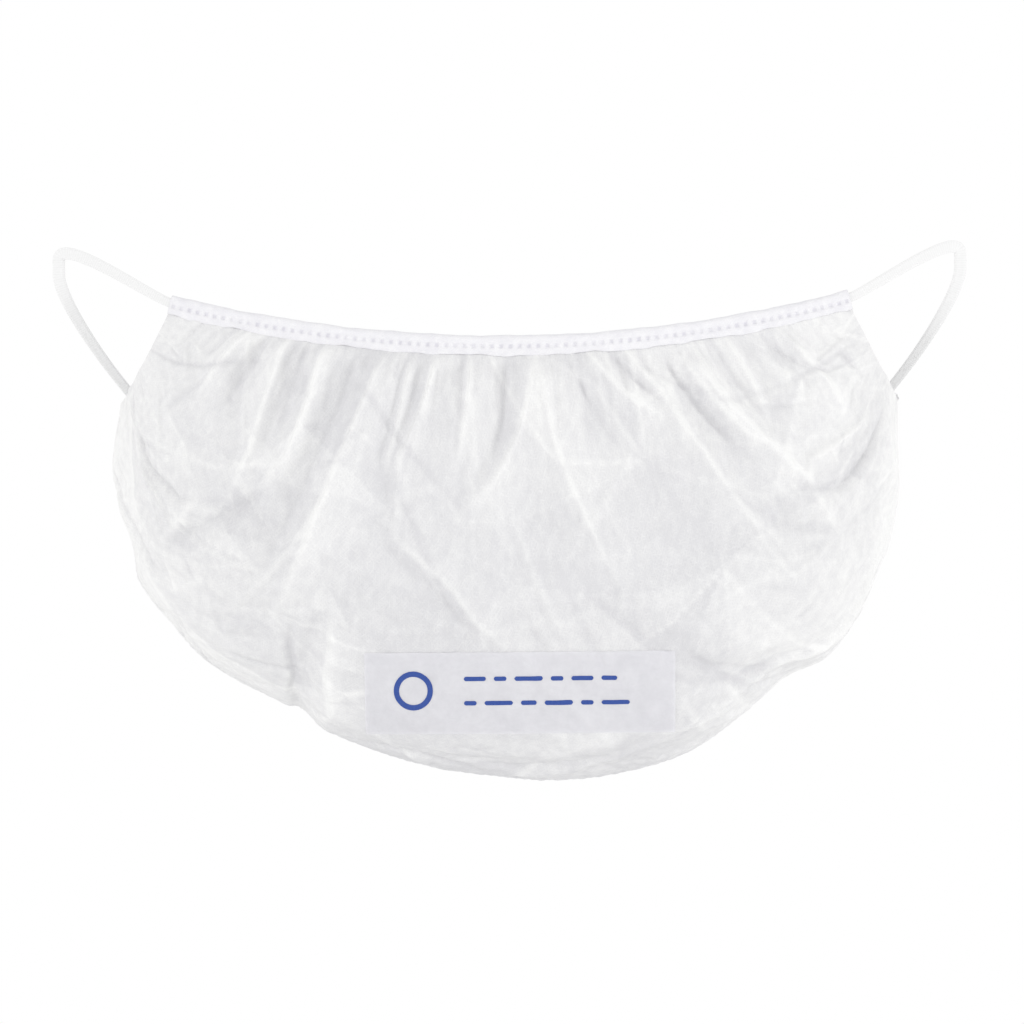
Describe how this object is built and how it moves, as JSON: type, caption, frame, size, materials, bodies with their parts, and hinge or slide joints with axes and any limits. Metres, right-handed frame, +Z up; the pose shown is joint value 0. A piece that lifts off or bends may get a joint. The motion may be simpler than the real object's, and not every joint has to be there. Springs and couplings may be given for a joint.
{
  "type": "disposable beard net",
  "caption": "Gathered nonwoven pouch with elasticated bindings and two ear loops, worn under the chin to hold a beard.",
  "frame": {"origin": "midway between the two places where the ears carry the loops, on the line through both", "axes": "+Z up, +X to the right as seen from the front, +Y towards the wearer's neck, so the front faces -Y"},
  "size_m": [0.2924, 0.0885, 0.172],
  "materials": {
    "nonwoven": "thin white spunbond polypropylene, crumpled, lets light through",
    "binding_tape": "white nonwoven tape, folded over and spot welded",
    "elastic": "white flat knitted elastic",
    "label": "thin pale lilac-grey film with a plain blue mark"
  },
  "bodies": {
    "root": {"pouch": "nonwoven", "front_binding": "binding_tape", "rear_binding": "binding_tape", "elastic_ear_loops": "elastic", "label_patch": "label"}
  },
  "joints": []
}
